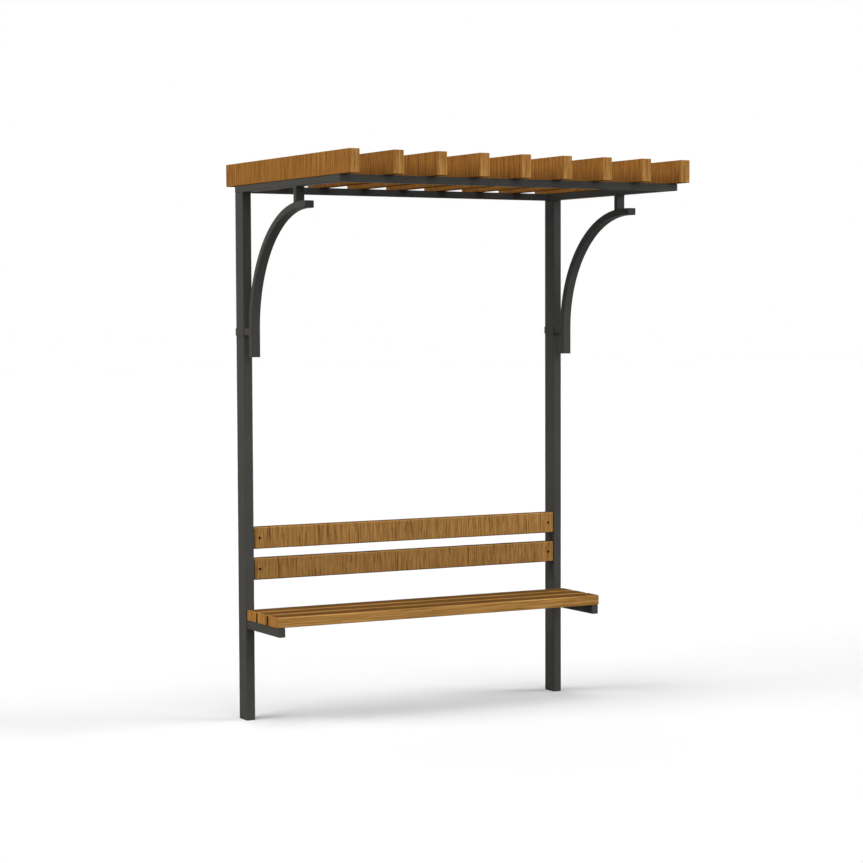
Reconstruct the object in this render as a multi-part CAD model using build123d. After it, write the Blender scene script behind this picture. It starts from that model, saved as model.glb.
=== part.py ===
"""Pergola with a bench: two steel posts, arched braces, a slatted timber roof and a timber seat and back."""
import os

from build123d import *

# Timber, one planed section for the roof, the seat and the back
timber_width = 95.0
timber_thickness = 45.0
timber_edge_chamfer = 3.0

# Posts, standing side by side under the rear edge of the roof
post_spacing = 1555.0
post_width = 40.0
post_depth = 80.0
post_height = 2280.0
post_wall = 3.0
post_corner_radius = 3.0

# Foot plates and end plugs, welded inside the ends of the tubes
foot_plate_thickness = 8.0
plug_thickness = 4.0
plug_recess = 1.0
plug_clearance = 0.2

# Roof frame, four tubes mitred at the corners
frame_depth = 1030.0
rail_width = 40.0
rail_height = 30.0
rail_wall = 2.5
rail_corner_radius = 3.0
mitre_allowance = 10.0

# Roof slats, on edge from front to back
slat_count = 9
slat_end_overhang = 89.0
slat_side_overhang = 2.5

# Arched braces, one bent tube under each side rail
brace_width = 40.0
brace_depth = 30.0
brace_wall = 2.5
brace_corner_radius = 3.0
brace_bend_radius = 510.0
brace_tail_length = 119.0
brace_end_length = 45.0
brace_drop = 60.0
brace_standoff = 55.0

# Uprights between the braces and the side rails
upright_depth = 25.0
upright_wall = 2.0
upright_corner_radius = 3.0
upright_setback = 87.0

# Collars round the posts and the spacers that carry the braces' tails
collar_height = 32.0
collar_thickness = 3.0
collar_clearance = 0.2
collar_rise = 91.0
spacer_height = 30.0

# Bench: two bearers, three seat slats and two back boards
bearer_width = 30.0
bearer_height = 40.0
bearer_wall = 2.5
bearer_corner_radius = 3.0
bearer_underside = 400.0
seat_slat_count = 3
seat_slat_gap = 16.0
seat_end_overhang = 0.5
seat_rear_gap = 11.0
board_count = 2
lower_board_height = 610.0
board_gap = 40.0
board_inset = 2.0
board_end_clearance = 0.5

# Tabs on the posts' inner faces, behind the ends of the back boards
tab_length = 45.0
tab_height = 60.0
tab_thickness = 5.0

# Places that several pieces share
middle_x = post_spacing / 2
frame_width = post_spacing + post_width
roof_width = frame_width + 2 * slat_side_overhang
seat_length = frame_width + 2 * seat_end_overhang
post_front = -post_depth / 2
post_back = post_depth / 2
frame_front = post_back - frame_depth
frame_top = post_height + rail_height
tail_line = post_front - brace_standoff - brace_depth / 2
brace_top = post_height - brace_drop
bend_end_z = brace_top - brace_depth / 2
bend_start_z = bend_end_z - brace_bend_radius
tail_bottom = bend_start_z - brace_tail_length
bend_end_y = tail_line - brace_bend_radius
brace_front = bend_end_y - brace_end_length
collar_middle = tail_bottom + collar_rise + collar_height / 2
seat_rear = post_front - seat_rear_gap
seat_depth = seat_slat_count * timber_width + (seat_slat_count - 1) * seat_slat_gap
seat_front = seat_rear - seat_depth
bearer_top = bearer_underside + bearer_height
post_places = {"left": 0.0, "right": post_spacing}


def tube_section(width, depth, wall, radius):
    """Wall of a rectangular tube, rounded at its outer corners."""
    outside = RectangleRounded(width, depth, radius)
    inside = Rectangle(width - 2 * wall, depth - 2 * wall)
    return outside - inside


def plug(width, depth, wall, thickness):
    """Plate that closes a tube from inside."""
    plate_width = width - 2 * (wall + plug_clearance)
    plate_depth = depth - 2 * (wall + plug_clearance)
    return extrude(Rectangle(plate_width, plate_depth), thickness)


def facing_front(y, z):
    """Plane on a post's centre line that looks forward, with its x to the right and its y up."""
    return Plane(origin=(0, y, z), x_dir=(1, 0, 0), z_dir=(0, -1, 0))


def timber(length):
    """Planed timber along X, flat side down, centred on its middle, with all its edges eased."""
    plank = Box(length, timber_width, timber_thickness)
    return chamfer(plank.edges(), timber_edge_chamfer)


def post():
    section = tube_section(post_width, post_depth, post_wall, post_corner_radius)
    return extrude(section, post_height)


def foot_plate():
    return plug(post_width, post_depth, post_wall, foot_plate_thickness)


def frame_rail(length):
    """Rail along X with its outer face on y = 0, cut back inwards at both ends to the mitres."""
    section = tube_section(rail_width, rail_height, rail_wall, rail_corner_radius)
    across = Plane(origin=(0, rail_width / 2, rail_height / 2), x_dir=(0, 1, 0), z_dir=(1, 0, 0))
    rail = extrude(across * section, length / 2 + mitre_allowance, both=True)
    for side in (1, -1):
        cut = Plane(origin=(side * length / 2, 0, 0), z_dir=(-side, -1, 0))
        rail = split(rail, bisect_by=cut, keep=Keep.TOP)
    return rail


def brace_path():
    """Centreline of a brace: up the tail, round the bend and forward to its end."""
    tail_start = (0, tail_line, tail_bottom)
    bend_start = (0, tail_line, bend_start_z)
    bend_end = (0, bend_end_y, bend_end_z)
    front = (0, brace_front, bend_end_z)
    bend = TangentArc(bend_start, bend_end, tangent=(0, 0, 1))
    return Line(tail_start, bend_start) + bend + Line(bend_end, front)


def swept_brace(section):
    """A section carried along a brace's centreline."""
    start = Plane(origin=(0, tail_line, tail_bottom), x_dir=(1, 0, 0), z_dir=(0, 0, 1))
    return sweep(start * section, path=brace_path())


def brace():
    return swept_brace(tube_section(brace_width, brace_depth, brace_wall, brace_corner_radius))


def brace_plug():
    return plug(brace_width, brace_depth, brace_wall, plug_thickness)


def brace_upright():
    """Short upright from a brace to the rail above, its lower end coped to the bend's outer surface."""
    middle_y = brace_front + upright_setback + upright_depth / 2
    section = tube_section(brace_width, upright_depth, upright_wall, upright_corner_radius)
    upright = extrude(Pos(0, middle_y, bend_end_z) * section, post_height - bend_end_z)
    return upright - swept_brace(Rectangle(brace_width, brace_depth))


def brace_collar():
    """Strap round a post at the height of the spacer."""
    inner_width = post_width + 2 * collar_clearance
    inner_depth = post_depth + 2 * collar_clearance
    inner_radius = post_corner_radius + collar_clearance
    outside = RectangleRounded(
        inner_width + 2 * collar_thickness, inner_depth + 2 * collar_thickness, inner_radius + collar_thickness
    )
    strap = extrude(outside - RectangleRounded(inner_width, inner_depth, inner_radius), collar_height / 2, both=True)
    return Pos(0, 0, collar_middle) * strap


def brace_spacer():
    """Short tube from the collar's front to the back of the brace's tail."""
    collar_front = post_front - collar_clearance - collar_thickness
    length = brace_standoff - collar_clearance - collar_thickness
    section = tube_section(brace_width, spacer_height, brace_wall, brace_corner_radius)
    return extrude(facing_front(collar_front, collar_middle) * section, length)


def bearer():
    section = tube_section(bearer_width, bearer_height, bearer_wall, bearer_corner_radius)
    middle_z = bearer_underside + bearer_height / 2
    return extrude(facing_front(post_front, middle_z) * section, post_front - seat_front)


def bearer_plug():
    """Plate in the front end of a bearer."""
    plate = plug(bearer_width, bearer_height, bearer_wall, plug_thickness)
    middle_z = bearer_underside + bearer_height / 2
    return facing_front(seat_front + plug_recess + plug_thickness, middle_z) * plate


def front_plug():
    """Plate in the front end of a brace."""
    return facing_front(brace_front + plug_recess + plug_thickness, bend_end_z) * brace_plug()


def tail_plug():
    """Plate in the lower end of a brace."""
    return Pos(0, tail_line, tail_bottom + plug_recess) * brace_plug()


def roof_slat():
    """Slat on edge, running from front to back over the frame."""
    middle_y = (post_back + frame_front) / 2
    middle_z = frame_top + timber_width / 2
    on_edge = Rot(90, 0, 0) * timber(frame_depth + 2 * slat_end_overhang)
    return Pos(0, middle_y, middle_z) * Rot(0, 0, 90) * on_edge


def seat_slat():
    return Pos(middle_x, 0, bearer_top + timber_thickness / 2) * timber(seat_length)


def back_board():
    """Board on edge between the posts' inner faces."""
    length = post_spacing - post_width - 2 * board_end_clearance
    middle_y = post_front + board_inset + timber_thickness / 2
    return Pos(middle_x, middle_y, timber_width / 2) * Rot(90, 0, 0) * timber(length)


def board_tab(side):
    """Plate on a post's inner face that a back board's end is screwed to; side is 1 on the left post."""
    back_of_board = post_front + board_inset + timber_thickness
    middle_x_of_tab = side * (post_width + tab_length) / 2
    place = Pos(middle_x_of_tab, back_of_board + tab_thickness / 2, timber_width / 2)
    return place * Box(tab_length, tab_thickness, tab_height)


pieces = {}

# Posts, braces and bench bearers, the same on both sides
for name, place in post_places.items():
    at = Pos(place, 0, 0)
    pieces[f"{name}_post"] = at * post()
    pieces[f"{name}_foot_plate"] = at * foot_plate()
    pieces[f"{name}_brace"] = at * brace()
    pieces[f"{name}_brace_front_plug"] = at * front_plug()
    pieces[f"{name}_brace_tail_plug"] = at * tail_plug()
    pieces[f"{name}_brace_upright"] = at * brace_upright()
    pieces[f"{name}_brace_collar"] = at * brace_collar()
    pieces[f"{name}_brace_spacer"] = at * brace_spacer()
    pieces[f"{name}_bench_bearer"] = at * bearer()
    pieces[f"{name}_bench_bearer_plug"] = at * bearer_plug()

# Roof frame, made from the front rail round by quarter turns
frame_centre = Pos(middle_x, (post_back + frame_front) / 2, post_height)
for quarter, name in enumerate(("front", "right", "back", "left")):
    is_side = quarter % 2 == 1
    length = frame_depth if is_side else frame_width
    reach = (frame_width if is_side else frame_depth) / 2
    pieces[f"{name}_roof_rail"] = frame_centre * Rot(0, 0, 90 * quarter) * Pos(0, -reach, 0) * frame_rail(length)

# Roof slats, spread evenly over the roof's width
slat_pitch = (roof_width - timber_thickness) / (slat_count - 1)
first_slat_x = middle_x - (roof_width - timber_thickness) / 2
for index in range(slat_count):
    pieces[f"roof_slat_{index + 1}"] = Pos(first_slat_x + index * slat_pitch, 0, 0) * roof_slat()

# Seat slats, from the rear one forward
for index in range(seat_slat_count):
    middle_y = seat_rear - timber_width / 2 - index * (timber_width + seat_slat_gap)
    pieces[f"seat_slat_{index + 1}"] = Pos(0, middle_y, 0) * seat_slat()

# Back boards from the lower one up, each with a tab behind its two ends
for index in range(board_count):
    underside = Pos(0, 0, lower_board_height + index * (timber_width + board_gap))
    pieces[f"back_board_{index + 1}"] = underside * back_board()
    pieces[f"left_board_tab_{index + 1}"] = underside * board_tab(1)
    pieces[f"right_board_tab_{index + 1}"] = underside * Pos(post_spacing, 0, 0) * board_tab(-1)

os.makedirs("parts", exist_ok=True)
for name, solid in pieces.items():
    export_step(solid, f"parts/{name}.step")
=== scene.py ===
"""Looks of the pergola with a bench: planed timber, powder-coated steel, fixings, floor, light and camera."""
import math

import bmesh
import bpy
from mathutils import Matrix, Vector


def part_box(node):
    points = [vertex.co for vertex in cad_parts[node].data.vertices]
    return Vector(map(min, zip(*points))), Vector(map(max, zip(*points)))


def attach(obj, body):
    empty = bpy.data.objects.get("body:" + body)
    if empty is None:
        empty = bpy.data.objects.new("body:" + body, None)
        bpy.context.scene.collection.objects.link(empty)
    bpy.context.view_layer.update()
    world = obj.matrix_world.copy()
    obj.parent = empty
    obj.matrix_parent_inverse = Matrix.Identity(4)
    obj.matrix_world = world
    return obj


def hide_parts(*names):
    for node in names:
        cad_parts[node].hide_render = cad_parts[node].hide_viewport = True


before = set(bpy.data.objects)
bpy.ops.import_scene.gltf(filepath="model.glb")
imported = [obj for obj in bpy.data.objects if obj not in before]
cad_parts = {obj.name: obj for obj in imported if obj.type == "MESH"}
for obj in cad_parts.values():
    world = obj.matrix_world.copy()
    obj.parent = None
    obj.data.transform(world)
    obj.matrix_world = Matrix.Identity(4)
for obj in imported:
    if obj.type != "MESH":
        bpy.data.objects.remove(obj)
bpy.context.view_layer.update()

# Timber: planed slats and boards with rounded edges, and painted light and shade as a tint on each face or
# edge: painted shade on tops, undersides, gaps, lower and left edges and some ends, painted highlights on
# upper edges and roof ends
TIMBER_EDGE_STEPS = 4
END_EDGE_STEPS = 3
ROUND_PROFILE = 0.5
STREAK_MAP = "streaks"
PAINTED_SHADING_MAP = "painted_shading_tint"
FACING_SHARE = 0.5
UPRIGHT_POWER = 8
EDGE_RISE = 0.1
NO_PAINTED_SHADING = (1.0, 1.0, 1.0)
PIECE_SHIFT = 0.731
TIMBER_FAMILIES = {
    "roof_slat": {
        "slot": "roof_timber",
        "length_axis": 1,
        "upright": True,
        "radius": 0.0022,
        "end_radius": 0.0022,
        "flat_power": 8,
        "end_streak_share": 0.8,
        # Painted highlight: lighter, bluer ends; painted shade: darker undersides
        "painted_shading": {"end": (1.10, 1.16, 1.30), "under": (0.66, 0.66, 0.66)},
        # Each slat's tone as painted shade: the first, which no slat shades, lighter, the rest darker
        "piece_tones": (1.06, 0.88, 0.94, 0.97, 0.95, 0.98, 0.95, 0.96, 0.95),
    },
    "back_board": {
        "slot": "back_timber",
        "length_axis": 0,
        "upright": True,
        "radius": 0.0055,
        "end_radius": 0.0055,
        "flat_power": 2,
        "end_streak_share": 1.0,
        # Painted shade on the ends, tops, undersides, lower and left edges, and a painted highlight on the
        # upper edges
        "painted_shading": {
            "end": (0.1, 0.1, 0.1),
            "top": (0.35, 0.35, 0.35),
            "under": (0.25, 0.25, 0.25),
            "upper edge": (2.2, 2.2, 2.2),
            "lower edge": (0.28, 0.28, 0.28),
            "left edge": (0.06, 0.06, 0.06),
        },
        # The lower board darker than the upper: painted shade under the upper board
        "piece_tones": (0.92, 1.03),
    },
    "seat_slat": {
        "slot": "seat_timber",
        "length_axis": 0,
        "upright": False,
        "radius": 0.0055,
        "end_radius": 0.0022,
        "flat_power": 8,
        "end_streak_share": 0.45,
        # Painted shade on the tops, undersides and the sides of the gaps, a painted highlight on the upper
        # edges, and a slight painted tint on the ends
        "painted_shading": {
            "end": (1.03, 0.97, 0.94),
            "top": (0.34, 0.33, 0.39),
            "under": (0.6, 0.6, 0.6),
            "upper edge": (1.5, 1.5, 1.5),
            "gap": (0.25, 0.22, 0.2),
        },
        "piece_tones": (0.96,),
    },
}

# Grain: its noises, the range of each that is used, and what each adds to the tone
WANDER_NOISE = {"scale": 14.0, "detail": 1.0, "roughness": 0.5}
BAND_NOISE = {"scale": 0.11, "detail": 2.0, "roughness": 0.5}
STREAK_NOISE = {"scale": 1.0, "detail": 2.0, "roughness": 0.55}
LINE_NOISE = {"scale": 0.8, "detail": 1.0, "roughness": 0.5}
PORE_NOISE = {"scale": 5.0, "detail": 2.0, "roughness": 0.6}
NOISE_RANGE = (0.30, 0.70)
LINE_RANGE = (0.58, 0.70)
PORE_RANGE = (0.35, 0.65)
FULL_RANGE = (0.0, 1.0)
EVEN_RANGE = (-0.5, 0.5)
WANDER_RANGE = (-0.12, 0.12)
BAND_WEIGHT = 0.10
STREAK_WEIGHT = 0.70
PORE_WEIGHT = 0.35
MIDDLE_TONE = 0.60
PORE_HEIGHT = 0.6
TIMBER_ROUGHNESS = (0.78, 0.60)
TIMBER_GLOSS = 0.0
TIMBER_BUMP = {"Strength": 0.25, "Distance": 0.0006}

# Coat: a cloudy tone and an orange-peel skin
CLOUD_NOISE = {"scale": 5.0, "detail": 3.0, "roughness": 0.55}
PEEL_NOISE = {"scale": 650.0, "detail": 2.0, "roughness": 0.5}
PEEL_SHADE = (0.6, 1.0)
COAT_ROUGHNESS = (0.50, 0.62)
COAT_GLOSS = 0.025
SCREW_GLOSS = 0.03
COAT_BUMP = {"Strength": 0.12, "Distance": 0.0002}

# Braces: bent rectangular tube with a plug in each end
BRACE_DEPTH = 0.030
BRACE_END_LENGTH = 0.045
BRACE_CORNER_RADIUS = 0.003
BRACE_CORNER_STEPS = 5
BRACE_BEND_STEPS = 64
BRACE_WALL = 0.0025
PLUG_RECESS = 0.001

# Fixings: button-head bolts through the back boards, nuts behind them, screws under the roof and the seat
HEAD_RADIUS = 0.0055
HEAD_HEIGHT = 0.0022
FLUSH_RADIUS = 0.0060
FLUSH_HEIGHT = 0.0004
HEAD_SIDES = 28
HEAD_EDGE_SHARE = 0.7
HEAD_EDGE_STEPS = 4
SOCKET_RADIUS_SHARE = 0.42
SOCKET_DEPTH_SHARE = 0.55
BOLT_PLACE_SHARE = 0.63
NUT_RADIUS = 0.0066
NUT_HEIGHT = 0.0052
NUT_SIDES = 6
NUT_EDGE = 0.0006
NUT_EDGE_STEPS = 2
BOLT_END_RADIUS = 0.003
BOLT_TIP_SHARE = 0.85
BOLT_END_LENGTH = 0.0075

# Weld beads: the tube, its axis, whether at its high end, and how far the bead stands out across it
BEAD = 0.0025
BEAD_STEPS = 4
BEAD_ROUND_SHARE = 0.45
BEAD_SUNK = -0.0003
WELDS = (
    ("bench_bearer", 1, True, (BEAD, BEAD)),
    ("brace_spacer", 1, False, (BEAD_SUNK, BEAD)),
    ("brace_spacer", 1, True, (BEAD, BEAD_SUNK)),
    ("brace_upright", 2, True, (BEAD_SUNK, BEAD)),
)

# Camera, fitted to the photograph's edges
CAMERA_PLACE = Vector((-4.09715, -9.34092, 1.76514))
CAMERA_YAW = math.radians(29.62)
CAMERA_PITCH = math.radians(3.64)
CAMERA_ROLL = math.radians(0.11)
IMAGE_SIZE = 863
FOCAL_PIXELS = 2350.2
CENTRE_PIXEL = (489.17, 461.92)
SENSOR_WIDTH = 36.0

# Floor: the tone that is seen, the tone that throws light back, and the rest up to white
FLOOR_HALF_SIZE = 60.0
FLOOR_SEEN = (0.97, 0.97, 0.97, 1.0)
FLOOR_BOUNCE = (0.25, 0.25, 0.25, 1.0)
FLOOR_GLOW = (0.018, 0.018, 0.018, 1.0)

# Lamps: degrees round from the front, degrees up, strength, colour and degrees of spread
LAMPS = {
    "left_lamp": (90, 29, 2.04, (1.0, 0.91, 0.78), 36),
    "front_lamp": (0, 15, 1.07, (0.95, 0.97, 1.0), 35),
    "right_lamp": (-67, 12, 3.28, (0.95, 0.97, 1.0), 35),
    "top_lamp": (25, 76, 0.85, (1.0, 0.98, 0.95), 30),
    "rear_lamp": (180, 14, 1.20, (1.0, 1.0, 1.0), 45),
}

# White lamp for the floor alone, in place of the warm left one, so that the shadow is grey
FLOOR_LAMP = (90, 29, 2.36, (1.0, 1.0, 1.0), 52)

# Even light from all round
AIR_LIGHT = 0.03
WHITE = (1.0, 1.0, 1.0, 1.0)


def srgb(red, green, blue):
    """Linear colour, with alpha, of an sRGB colour from 0 to 255."""
    def linear(value):
        share = value / 255
        return share / 12.92 if share <= 0.04045 else ((share + 0.055) / 1.055) ** 2.4
    return (linear(red), linear(green), linear(blue), 1.0)


# Node helpers
def add_node(tree, kind, settings=None, values=None):
    """New node with its settings and the values of its unlinked inputs."""
    node = tree.nodes.new(kind)
    for name, value in (settings or {}).items():
        setattr(node, name, value)
    for name, value in (values or {}).items():
        node.inputs[name].default_value = value
    return node


def math_node(tree, operation, first, second):
    """Math node on two inputs, each a socket or a number."""
    node = add_node(tree, "ShaderNodeMath", {"operation": operation})
    for socket, source in zip(node.inputs, (first, second)):
        if isinstance(source, (int, float)):
            socket.default_value = source
        else:
            tree.links.new(source, socket)
    return node.outputs[0]


def vector_node(tree, operation, first, second):
    """Vector math node on two sockets."""
    node = add_node(tree, "ShaderNodeVectorMath", {"operation": operation})
    tree.links.new(first, node.inputs[0])
    tree.links.new(second, node.inputs[1])
    return node.outputs["Vector"]


def joined_node(tree, sources):
    """Vector made from sockets for some of its axes."""
    node = add_node(tree, "ShaderNodeCombineXYZ")
    for axis, source in sources.items():
        tree.links.new(source, node.inputs[axis])
    return node.outputs["Vector"]


def noise_node(tree, vector, scale, detail, roughness):
    """Value of a noise texture on a vector."""
    node = add_node(
        tree, "ShaderNodeTexNoise", {"noise_dimensions": "3D"},
        {"Scale": scale, "Detail": detail, "Roughness": roughness},
    )
    tree.links.new(vector, node.inputs["Vector"])
    return node.outputs["Fac"]


def spread_node(tree, source, given_range, made_range):
    """Value mapped from one range to another, held at both ends."""
    low, high = given_range
    made_low, made_high = made_range
    node = add_node(
        tree, "ShaderNodeMapRange", {"clamp": True},
        {"From Min": low, "From Max": high, "To Min": made_low, "To Max": made_high},
    )
    tree.links.new(source, node.inputs["Value"])
    return node.outputs["Result"]


def colour_mix(tree, share, first, second):
    """Colour between two, by a share."""
    node = add_node(tree, "ShaderNodeMix", {"data_type": "RGBA"})
    colour_inputs = [socket for socket in node.inputs if socket.type == "RGBA"]
    tree.links.new(share, node.inputs["Factor"])
    for socket, source in zip(colour_inputs, (first, second)):
        if isinstance(source, tuple):
            socket.default_value = source
        else:
            tree.links.new(source, socket)
    return next(socket for socket in node.outputs if socket.type == "RGBA")


def node_group(name, inputs, outputs):
    """Shader node group with named sockets, and its input and output nodes."""
    tree = bpy.data.node_groups.new(name, "ShaderNodeTree")
    for label, kind in inputs.items():
        tree.interface.new_socket(label, in_out="INPUT", socket_type=kind)
    for label, kind in outputs.items():
        tree.interface.new_socket(label, in_out="OUTPUT", socket_type=kind)
    return tree, tree.nodes.new("NodeGroupInput"), tree.nodes.new("NodeGroupOutput")


def timber_grain_group():
    """Bands, streaks, dark lines and pores of planed timber, on a map in metres with x along the grain, times
    the painted light and shade.
    """
    tree, given, made = node_group(
        "timber_grain",
        {
            "Map": "NodeSocketVector",
            "Tint": "NodeSocketColor",
            "Pale Wood": "NodeSocketColor",
            "Dark Wood": "NodeSocketColor",
            "Streaks per Metre": "NodeSocketFloat",
            "Stretch": "NodeSocketFloat",
            "Contrast": "NodeSocketFloat",
            "Dark Lines": "NodeSocketFloat",
        },
        {"Colour": "NodeSocketColor", "Roughness": "NodeSocketFloat", "Height": "NodeSocketFloat"},
    )
    across = given.outputs["Streaks per Metre"]
    along = math_node(tree, "MULTIPLY", across, given.outputs["Stretch"])
    sizes = joined_node(tree, {"X": along, "Y": across, "Z": across})
    scaled = vector_node(tree, "MULTIPLY", given.outputs["Map"], sizes)
    drift = noise_node(tree, given.outputs["Map"], **WANDER_NOISE)
    wander = spread_node(tree, drift, NOISE_RANGE, WANDER_RANGE)
    vector = vector_node(tree, "ADD", scaled, joined_node(tree, {"Y": wander}))

    bands = spread_node(tree, noise_node(tree, vector, **BAND_NOISE), NOISE_RANGE, EVEN_RANGE)
    streaks = spread_node(tree, noise_node(tree, vector, **STREAK_NOISE), NOISE_RANGE, EVEN_RANGE)
    lines = spread_node(tree, noise_node(tree, vector, **LINE_NOISE), LINE_RANGE, FULL_RANGE)
    pores = spread_node(tree, noise_node(tree, vector, **PORE_NOISE), PORE_RANGE, EVEN_RANGE)

    tone = math_node(tree, "MULTIPLY", bands, BAND_WEIGHT)
    tone = math_node(tree, "ADD", tone, math_node(tree, "MULTIPLY", streaks, STREAK_WEIGHT))
    tone = math_node(tree, "ADD", tone, math_node(tree, "MULTIPLY", pores, PORE_WEIGHT))
    dark = math_node(tree, "MULTIPLY", lines, given.outputs["Dark Lines"])
    tone = math_node(tree, "SUBTRACT", tone, dark)
    tone = math_node(tree, "MULTIPLY", tone, given.outputs["Contrast"])
    tone = math_node(tree, "ADD", tone, MIDDLE_TONE)
    share = spread_node(tree, tone, FULL_RANGE, FULL_RANGE)
    wood = colour_mix(tree, share, given.outputs["Dark Wood"], given.outputs["Pale Wood"])
    tree.links.new(vector_node(tree, "MULTIPLY", wood, given.outputs["Tint"]), made.inputs["Colour"])
    tree.links.new(spread_node(tree, tone, FULL_RANGE, TIMBER_ROUGHNESS), made.inputs["Roughness"])
    height = math_node(tree, "SUBTRACT", math_node(tree, "MULTIPLY", pores, PORE_HEIGHT), lines)
    tree.links.new(height, made.inputs["Height"])
    return tree


def coat_skin_group():
    """Fine orange-peel skin of a sprayed coat with a faint cloudiness."""
    tree, given, made = node_group(
        "coat_skin",
        {"Map": "NodeSocketVector", "Coat Colour": "NodeSocketColor", "Thin Colour": "NodeSocketColor"},
        {"Colour": "NodeSocketColor", "Roughness": "NodeSocketFloat", "Height": "NodeSocketFloat"},
    )
    clouds = noise_node(tree, given.outputs["Map"], **CLOUD_NOISE)
    peel = noise_node(tree, given.outputs["Map"], **PEEL_NOISE)
    cloud_share = spread_node(tree, clouds, NOISE_RANGE, FULL_RANGE)
    share = math_node(tree, "MULTIPLY", cloud_share, spread_node(tree, peel, NOISE_RANGE, PEEL_SHADE))
    colour = colour_mix(tree, share, given.outputs["Coat Colour"], given.outputs["Thin Colour"])
    tree.links.new(colour, made.inputs["Colour"])
    tree.links.new(spread_node(tree, clouds, NOISE_RANGE, COAT_ROUGHNESS), made.inputs["Roughness"])
    tree.links.new(peel, made.inputs["Height"])
    return tree


def new_material(name, group, group_values, bump_values, gloss):
    """Principled material with colour, roughness and bump from a node group, and that group's node."""
    material = bpy.data.materials.new(name)
    material.use_nodes = True
    tree = material.node_tree
    shader = next(node for node in tree.nodes if node.type == "BSDF_PRINCIPLED")
    shader.inputs["Specular IOR Level"].default_value = gloss
    pattern = add_node(tree, "ShaderNodeGroup", {"node_tree": group}, group_values)
    bump = add_node(tree, "ShaderNodeBump", {}, bump_values)
    tree.links.new(pattern.outputs["Colour"], shader.inputs["Base Color"])
    tree.links.new(pattern.outputs["Roughness"], shader.inputs["Roughness"])
    tree.links.new(pattern.outputs["Height"], bump.inputs["Height"])
    tree.links.new(bump.outputs["Normal"], shader.inputs["Normal"])
    return material, pattern


def timber_material(name, grain_values):
    """Oiled timber on the piece's own streak map, with its painted light and shade."""
    material, grain = new_material(name, timber_grain, grain_values, TIMBER_BUMP, TIMBER_GLOSS)
    tree = material.node_tree
    streaks = add_node(tree, "ShaderNodeUVMap", {"uv_map": STREAK_MAP})
    tree.links.new(streaks.outputs["UV"], grain.inputs["Map"])
    painted_shading_tint = add_node(tree, "ShaderNodeAttribute", {"attribute_name": PAINTED_SHADING_MAP})
    tree.links.new(painted_shading_tint.outputs["Color"], grain.inputs["Tint"])
    return material


def coated_material(name, coat, thin, gloss):
    """Sprayed or blackened metal with a fine skin."""
    colours = {"Coat Colour": coat, "Thin Colour": thin}
    material, skin = new_material(name, coat_skin, colours, COAT_BUMP, gloss)
    source = add_node(material.node_tree, "ShaderNodeTexCoord")
    material.node_tree.links.new(source.outputs["Object"], skin.inputs["Map"])
    return material


# Finishes
timber_grain = timber_grain_group()
coat_skin = coat_skin_group()
roof_grain = {
    "Pale Wood": srgb(180, 128, 66),
    "Dark Wood": srgb(120, 79, 37),
    "Streaks per Metre": 125.0,
    "Stretch": 0.05,
    "Contrast": 1.3,
    "Dark Lines": 0.25,
}
back_grain = {
    "Pale Wood": srgb(183, 137, 78),
    "Dark Wood": srgb(115, 78, 37),
    "Streaks per Metre": 165.0,
    "Stretch": 0.055,
    "Contrast": 1.2,
    "Dark Lines": 0.55,
}
seat_grain = {
    "Pale Wood": srgb(191, 144, 81),
    "Dark Wood": srgb(131, 90, 41),
    "Streaks per Metre": 110.0,
    "Stretch": 0.03,
    "Contrast": 1.1,
    "Dark Lines": 0.55,
}
timber_finishes = {
    "roof_slat": timber_material("roof_timber", roof_grain),
    "back_board": timber_material("back_timber", back_grain),
    "seat_slat": timber_material("seat_timber", seat_grain),
}
powder_coat = coated_material("powder_coat", srgb(66, 66, 64), srgb(75, 75, 72), COAT_GLOSS)
dark_screw = coated_material("dark_screw", srgb(20, 12, 7), srgb(26, 17, 11), SCREW_GLOSS)


# Mesh helpers
def box_between(low, high):
    """Box that fills the space between two corners."""
    shape = bmesh.new()
    bmesh.ops.create_cube(shape, size=1.0)
    bmesh.ops.scale(shape, vec=high - low, verts=shape.verts)
    bmesh.ops.translate(shape, vec=(low + high) / 2, verts=shape.verts)
    return shape


def round_edges(shape, edges, radius, steps):
    """Rounds edges to a radius."""
    bmesh.ops.bevel(
        shape, geom=edges, offset=radius, offset_type="OFFSET", segments=steps,
        profile=ROUND_PROFILE, affect="EDGES", material=-1,
    )


def raise_face(shape, face, step):
    """Extrudes a face by a step, keeps it as the base and returns the new end face."""
    made = bmesh.ops.extrude_face_region(shape, geom=[face])["geom"]
    verts = [item for item in made if isinstance(item, bmesh.types.BMVert)]
    bmesh.ops.translate(shape, vec=step, verts=verts)
    return next(item for item in made if isinstance(item, bmesh.types.BMFace))


def push_out(shape, face, step):
    """Moves a face of a closed shape by a step, with walls behind it, and returns the moved face."""
    end = raise_face(shape, face, step)
    bmesh.ops.delete(shape, geom=[face], context="FACES_ONLY")
    return end


def add_shape(joined, shape):
    """Adds one shape to another and frees it."""
    mesh = bpy.data.meshes.new("added")
    shape.to_mesh(mesh)
    shape.free()
    joined.from_mesh(mesh)
    bpy.data.meshes.remove(mesh)


def repeated(shape, places):
    """One shape with a copy of a pattern shape at each place."""
    joined = bmesh.new()
    for place in places:
        copy = shape.copy()
        bmesh.ops.transform(copy, matrix=place, verts=copy.verts)
        add_shape(joined, copy)
    shape.free()
    return joined


def finish_piece(name, shape, material, nodes=()):
    """Makes a shape a piece of the part, smooth, with its finish, in place of the nodes named."""
    for face in shape.faces:
        face.smooth = True
    mesh = bpy.data.meshes.new(name)
    shape.to_mesh(mesh)
    shape.free()
    mesh.materials.append(material)
    piece = bpy.data.objects.new(name, mesh)
    bpy.context.scene.collection.objects.link(piece)
    piece.modifiers.new("weighted normals", "WEIGHTED_NORMAL").keep_sharp = True
    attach(piece, "root")
    if nodes:
        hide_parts(*nodes)
    return piece


def middle(node):
    """Middle of a CAD node's box."""
    low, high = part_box(node)
    return (low + high) / 2


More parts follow.
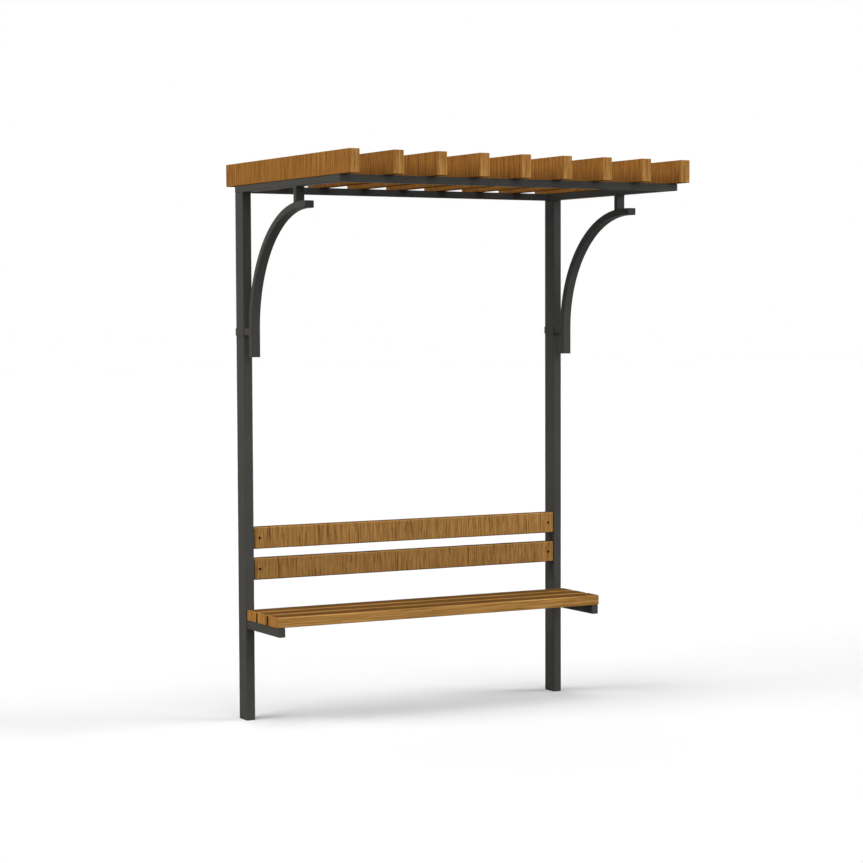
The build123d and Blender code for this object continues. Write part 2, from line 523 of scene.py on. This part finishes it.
# Timber
def lay_streaks(shape, values, shift):
    """Maps each face in metres, u along its streaks, which stand upright on some sides, and v across them."""
    layer = shape.loops.layers.uv.new(STREAK_MAP)
    length_axis = values["length_axis"]
    for face in shape.faces:
        facing = max(range(3), key=lambda axis: abs(face.normal[axis]))
        if facing == length_axis or (values["upright"] and facing != 2):
            along, across = 2, 1 - facing
        else:
            along, across = length_axis, 3 - facing - length_axis
        width = values["end_streak_share"] if facing == length_axis else 1.0
        for loop in face.loops:
            place = loop.vert.co
            loop[layer].uv = (place[along] + shift, place[across] * width + shift + facing)


def face_kind(axis, value, length_axis, gap_sides):
    """Kind of the flat face that points along an axis."""
    if axis == 2:
        return "top" if value > 0 else "under"
    if axis == length_axis:
        return "end"
    return "gap" if (axis, value > 0) in gap_sides else "side"


def edge_kind(normal):
    """Kind of the rounded edge that points along a normal."""
    if normal.z > EDGE_RISE:
        return "upper edge"
    if normal.z < -EDGE_RISE:
        return "lower edge"
    return "left edge" if normal.x < 0 else "right edge"


def lay_painted_shading(shape, values, tone, gap_sides):
    """Paints light and shade into each corner by the faces and edges it points along, and tints all but the
    ends by the piece's tone, itself painted shade on the roof slats and back boards.
    """
    layer = shape.loops.layers.float_color.new(PAINTED_SHADING_MAP)
    for face in shape.faces:
        for loop in face.loops:
            normal = loop.vert.normal
            shares = {}
            for axis, value in enumerate(normal):
                power = values["flat_power"] if axis == 2 else UPRIGHT_POWER
                shares[face_kind(axis, value, values["length_axis"], gap_sides)] = abs(value) ** power
            shares[edge_kind(normal)] = 1.0 - sum(shares.values())
            mixed = Vector()
            for kind, share in shares.items():
                painted_shading_tint = Vector(values["painted_shading"].get(kind, NO_PAINTED_SHADING))
                mixed += share * (painted_shading_tint if kind == "end" else tone * painted_shading_tint)
            loop[layer] = (*mixed, 1.0)


def split_edges(shape, length_axis):
    """Edges round the two ends of a timber, and the rest."""
    shape.normal_update()
    end_faces = [face for face in shape.faces if abs(face.normal[length_axis]) > FACING_SHARE]
    round_ends = {edge for face in end_faces for edge in face.edges}
    ends = [edge for edge in shape.edges if edge in round_ends]
    rest = [edge for edge in shape.edges if edge not in round_ends]
    return ends, rest


def planed_timber(node, family, index, gap_sides):
    """Slat or board with its long edges and then its ends rounded, in place of its plain node."""
    values = TIMBER_FAMILIES[family]
    tones = values["piece_tones"]
    plank = box_between(*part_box(node))
    long_edges = split_edges(plank, values["length_axis"])[1]
    round_edges(plank, long_edges, values["radius"], TIMBER_EDGE_STEPS)
    ends = split_edges(plank, values["length_axis"])[0]
    round_edges(plank, ends, values["end_radius"], END_EDGE_STEPS)
    plank.normal_update()
    lay_streaks(plank, values, (index + 1) * PIECE_SHIFT)
    lay_painted_shading(plank, values, tones[index % len(tones)], gap_sides)
    return finish_piece(f"planed_{node}", plank, timber_finishes[family], [node])


def timber_nodes(start):
    """Names of the nodes of a family, in order."""
    return sorted(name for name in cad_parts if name.startswith(start))


def seat_gap_sides(slat):
    """Sides of a seat slat, as an axis and whether it points along it, that face the gap to another slat."""
    place = middle(slat).y
    others = [middle(other).y for other in timber_nodes("seat_slat") if other != slat]
    return {(1, other > place) for other in others}


for family in TIMBER_FAMILIES:
    for index, name in enumerate(timber_nodes(family)):
        planed_timber(name, family, index, seat_gap_sides(name) if family == "seat_slat" else ())


# Braces
def end_of(shape, axis, value):
    """Face whose middle lies at a value on an axis."""
    return min(shape.faces, key=lambda face: abs(face.calc_center_median()[axis] - value))


def plug_end(shape, face, inwards):
    """Sinks the middle of a tube's end face, as where a plate closes it."""
    bmesh.ops.inset_region(shape, faces=[face], thickness=BRACE_WALL, use_even_offset=True)
    push_out(shape, face, inwards)


def bent_brace(side):
    """Tube with rounded corners: a straight tail, a quarter bend and a straight front end, both plugged."""
    low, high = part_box(f"{side}_brace")
    tail_y = high.y - BRACE_DEPTH / 2
    bend_y = low.y + BRACE_END_LENGTH
    bend_z = high.z - BRACE_DEPTH / 2 - (tail_y - bend_y)
    tube = bmesh.new()
    bmesh.ops.create_grid(tube, x_segments=1, y_segments=1, size=0.5)
    bmesh.ops.scale(tube, vec=(high.x - low.x, BRACE_DEPTH, 1.0), verts=tube.verts)
    bmesh.ops.bevel(
        tube, geom=tube.verts[:], offset=BRACE_CORNER_RADIUS, offset_type="OFFSET",
        segments=BRACE_CORNER_STEPS, profile=ROUND_PROFILE, affect="VERTICES", material=-1,
    )
    bmesh.ops.translate(tube, vec=((low.x + high.x) / 2, tail_y, low.z), verts=tube.verts)
    bend_start = raise_face(tube, tube.faces[:][0], Vector((0, 0, bend_z - low.z)))
    spun = bmesh.ops.spin(
        tube, geom=[bend_start], cent=(low.x, bend_y, bend_z), axis=(1, 0, 0),
        angle=math.pi / 2, steps=BRACE_BEND_STEPS,
    )["geom_last"]
    bend_end = next(item for item in spun if isinstance(item, bmesh.types.BMFace))
    front_end = push_out(tube, bend_end, Vector((0, low.y - bend_y, 0)))
    bmesh.ops.recalc_face_normals(tube, faces=tube.faces)
    plug_end(tube, end_of(tube, 2, low.z), Vector((0, 0, PLUG_RECESS)))
    plug_end(tube, front_end, Vector((0, PLUG_RECESS, 0)))
    bmesh.ops.recalc_face_normals(tube, faces=tube.faces)
    nodes = [f"{side}_brace", f"{side}_brace_front_plug", f"{side}_brace_tail_plug"]
    return finish_piece(f"bent_{side}_brace", tube, powder_coat, nodes)


for side in ("left", "right"):
    bent_brace(side)


# Fixings
def button_head(radius, height):
    """Bolt or screw head on z = 0 with a rounded crown and a socket."""
    head = bmesh.new()
    bmesh.ops.create_circle(head, cap_ends=True, segments=HEAD_SIDES, radius=radius)
    crown = raise_face(head, head.faces[:][0], Vector((0, 0, height)))
    round_edges(head, crown.edges[:], height * HEAD_EDGE_SHARE, HEAD_EDGE_STEPS)
    crown = max(head.faces, key=lambda face: face.calc_center_median().z)
    socket_inset = radius * (1 - SOCKET_RADIUS_SHARE) - height * HEAD_EDGE_SHARE
    bmesh.ops.inset_region(head, faces=[crown], thickness=socket_inset, use_even_offset=True)
    push_out(head, crown, Vector((0, 0, -height * SOCKET_DEPTH_SHARE)))
    bmesh.ops.recalc_face_normals(head, faces=head.faces)
    return head


def nut_on_bolt():
    """Hexagon nut on z = 0 with the bolt's end standing out of it."""
    nut = bmesh.new()
    bmesh.ops.create_cone(
        nut, cap_ends=True, segments=NUT_SIDES, radius1=NUT_RADIUS, radius2=NUT_RADIUS,
        depth=NUT_HEIGHT, matrix=Matrix.Translation((0, 0, NUT_HEIGHT / 2)),
    )
    round_edges(nut, nut.edges[:], NUT_EDGE, NUT_EDGE_STEPS)
    bmesh.ops.create_cone(
        nut, cap_ends=True, segments=HEAD_SIDES,
        radius1=BOLT_END_RADIUS, radius2=BOLT_END_RADIUS * BOLT_TIP_SHARE,
        depth=BOLT_END_LENGTH, matrix=Matrix.Translation((0, 0, BOLT_END_LENGTH / 2)),
    )
    return nut


turned_forward = Matrix.Rotation(math.pi / 2, 4, "X")
turned_back = Matrix.Rotation(-math.pi / 2, 4, "X")
turned_down = Matrix.Rotation(math.pi, 4, "X")

bolt_places = []
nut_places = []
for board in timber_nodes("back_board"):
    number = board.rsplit("_", 1)[1]
    face_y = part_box(board)[0].y
    height = middle(board).z
    for side in ("left", "right"):
        low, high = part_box(f"{side}_board_tab_{number}")
        share = BOLT_PLACE_SHARE if side == "left" else 1 - BOLT_PLACE_SHARE
        bolt_x = low.x + (high.x - low.x) * share
        bolt_places.append(Matrix.Translation((bolt_x, face_y, height)) @ turned_forward)
        nut_places.append(Matrix.Translation((bolt_x, high.y, height)) @ turned_back)
roof_screw_places = [
    Matrix.Translation((middle(slat).x, middle(rail).y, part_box(rail)[0].z)) @ turned_down
    for rail in ("front_roof_rail", "back_roof_rail")
    for slat in timber_nodes("roof_slat")[1:-1]
]
seat_screw_places = [
    Matrix.Translation((middle(bearer).x, middle(slat).y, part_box(bearer)[0].z)) @ turned_down
    for bearer in ("left_bench_bearer", "right_bench_bearer")
    for slat in timber_nodes("seat_slat")
]
fixings = {
    "back_board_bolts": repeated(button_head(HEAD_RADIUS, HEAD_HEIGHT), bolt_places),
    "back_board_nuts": repeated(nut_on_bolt(), nut_places),
    "roof_screws": repeated(button_head(FLUSH_RADIUS, FLUSH_HEIGHT), roof_screw_places),
    "seat_screws": repeated(button_head(FLUSH_RADIUS, FLUSH_HEIGHT), seat_screw_places),
}
for name, shape in fixings.items():
    finish_piece(name, shape, dark_screw)


# Weld beads
def bead_pad(centre, size):
    """Rounded pad whose rim shows as a bead round a joint."""
    half = size / 2
    pad = box_between(centre - half, centre + half)
    round_edges(pad, pad.edges[:], min(size) * BEAD_ROUND_SHARE, BEAD_STEPS)
    return pad


def side_welds(side):
    """Beads where a side's bearer, spacer and upright are welded on."""
    joined = bmesh.new()
    for tube, axis, at_high_end, (wide, tall) in WELDS:
        low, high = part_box(f"{side}_{tube}")
        size = high - low
        other_axis = 3 - axis
        size.x += 2 * wide
        size[other_axis] += 2 * tall
        size[axis] = 2 * BEAD
        centre = (low + high) / 2
        centre[axis] = high[axis] if at_high_end else low[axis]
        add_shape(joined, bead_pad(centre, size))
    return finish_piece(f"{side}_weld_beads", joined, powder_coat)


for side in ("left", "right"):
    side_welds(side)

# Steel that keeps its CAD shape
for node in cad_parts.values():
    if not node.hide_render:
        for material_slot in node.material_slots:
            material_slot.material = powder_coat


# Floor, light and camera
def seen_ray(tree):
    """1 on rays from the camera, off gloss or through glass, and 0 on the rays that carry light."""
    path = add_node(tree, "ShaderNodeLightPath")
    seen = math_node(tree, "MAXIMUM", path.outputs["Is Camera Ray"], path.outputs["Is Glossy Ray"])
    return math_node(tree, "MAXIMUM", seen, path.outputs["Is Transmission Ray"])


def floor_material():
    """White that keeps the shadows and can be looked through from below."""
    material = bpy.data.materials.new("pale_floor")
    material.use_nodes = True
    tree = material.node_tree
    tree.nodes.clear()
    seen = seen_ray(tree)
    matt = add_node(tree, "ShaderNodeBsdfDiffuse")
    tree.links.new(colour_mix(tree, seen, FLOOR_BOUNCE, FLOOR_SEEN), matt.inputs["Color"])
    glow = add_node(tree, "ShaderNodeEmission", {}, {"Color": FLOOR_GLOW})
    tree.links.new(seen, glow.inputs["Strength"])
    both = add_node(tree, "ShaderNodeAddShader")
    tree.links.new(matt.outputs[0], both.inputs[0])
    tree.links.new(glow.outputs[0], both.inputs[1])
    clear = add_node(tree, "ShaderNodeBsdfTransparent")
    sides = add_node(tree, "ShaderNodeMixShader")
    surface = add_node(tree, "ShaderNodeNewGeometry")
    tree.links.new(surface.outputs["Backfacing"], sides.inputs["Fac"])
    tree.links.new(both.outputs[0], sides.inputs[1])
    tree.links.new(clear.outputs[0], sides.inputs[2])
    output = add_node(tree, "ShaderNodeOutputMaterial")
    tree.links.new(sides.outputs[0], output.inputs["Surface"])
    return material


def pale_floor():
    """Wide floor under the part."""
    shape = bmesh.new()
    bmesh.ops.create_grid(shape, x_segments=1, y_segments=1, size=FLOOR_HALF_SIZE)
    mesh = bpy.data.meshes.new("floor")
    shape.to_mesh(mesh)
    shape.free()
    mesh.materials.append(floor_material())
    floor = bpy.data.objects.new("floor", mesh)
    bpy.context.scene.collection.objects.link(floor)
    return floor


def studio_world():
    """White to look at, and a faint even light."""
    world = bpy.data.worlds.new("studio")
    bpy.context.scene.world = world
    world.use_nodes = True
    tree = world.node_tree
    tree.nodes.clear()
    light = add_node(tree, "ShaderNodeBackground", {}, {"Color": WHITE, "Strength": AIR_LIGHT})
    white = add_node(tree, "ShaderNodeBackground", {}, {"Color": WHITE, "Strength": 1.0})
    chosen = add_node(tree, "ShaderNodeMixShader")
    tree.links.new(seen_ray(tree), chosen.inputs["Fac"])
    tree.links.new(light.outputs[0], chosen.inputs[1])
    tree.links.new(white.outputs[0], chosen.inputs[2])
    output = add_node(tree, "ShaderNodeOutputWorld")
    tree.links.new(chosen.outputs[0], output.inputs["Surface"])


def soft_lamp(name, around, up, strength, colour, spread):
    """Broad lamp far off, so that the whole floor is lit alike, turned round to the left from the front."""
    lamp = bpy.data.lights.new(name, "SUN")
    lamp.energy = strength
    lamp.color = colour
    lamp.angle = math.radians(spread)
    turn = math.radians(around)
    rise = math.radians(up)
    direction = Vector((math.sin(turn) * math.cos(rise), math.cos(turn) * math.cos(rise), -math.sin(rise)))
    holder = bpy.data.objects.new(name, lamp)
    holder.rotation_mode = "QUATERNION"
    holder.rotation_quaternion = direction.to_track_quat("-Z", "Y")
    bpy.context.scene.collection.objects.link(holder)
    return holder


def light_floor(lamp, floor, state):
    """Has a lamp light the floor alone, or everything but the floor."""
    lit = bpy.data.collections.new(f"{lamp.name}_floor")
    lit.objects.link(floor)
    lit.collection_objects[0].light_linking.link_state = state
    lamp.light_linking.receiver_collection = lit


def photo_camera():
    """Camera at the photograph's place, with the same focal length and centre."""
    forward = Vector((
        math.sin(CAMERA_YAW) * math.cos(CAMERA_PITCH),
        math.cos(CAMERA_YAW) * math.cos(CAMERA_PITCH),
        -math.sin(CAMERA_PITCH),
    ))
    level_right = Vector((math.cos(CAMERA_YAW), -math.sin(CAMERA_YAW), 0))
    level_up = level_right.cross(forward)
    right = math.cos(CAMERA_ROLL) * level_right - math.sin(CAMERA_ROLL) * level_up
    up = right.cross(forward)
    data = bpy.data.cameras.new("camera")
    data.sensor_width = SENSOR_WIDTH
    data.lens = SENSOR_WIDTH * FOCAL_PIXELS / IMAGE_SIZE
    data.shift_x = (IMAGE_SIZE / 2 - CENTRE_PIXEL[0]) / IMAGE_SIZE
    data.shift_y = (CENTRE_PIXEL[1] - IMAGE_SIZE / 2) / IMAGE_SIZE
    camera = bpy.data.objects.new("camera", data)
    turn = Matrix((right, up, -forward)).transposed().to_4x4()
    camera.matrix_world = Matrix.Translation(CAMERA_PLACE) @ turn
    bpy.context.scene.collection.objects.link(camera)
    bpy.context.scene.camera = camera


floor = pale_floor()
studio_world()
lamps = {name: soft_lamp(name, *values) for name, values in LAMPS.items()}
light_floor(lamps["left_lamp"], floor, "EXCLUDE")
light_floor(soft_lamp("floor_lamp", *FLOOR_LAMP), floor, "INCLUDE")
photo_camera()
bpy.context.scene.view_settings.view_transform = "Standard"
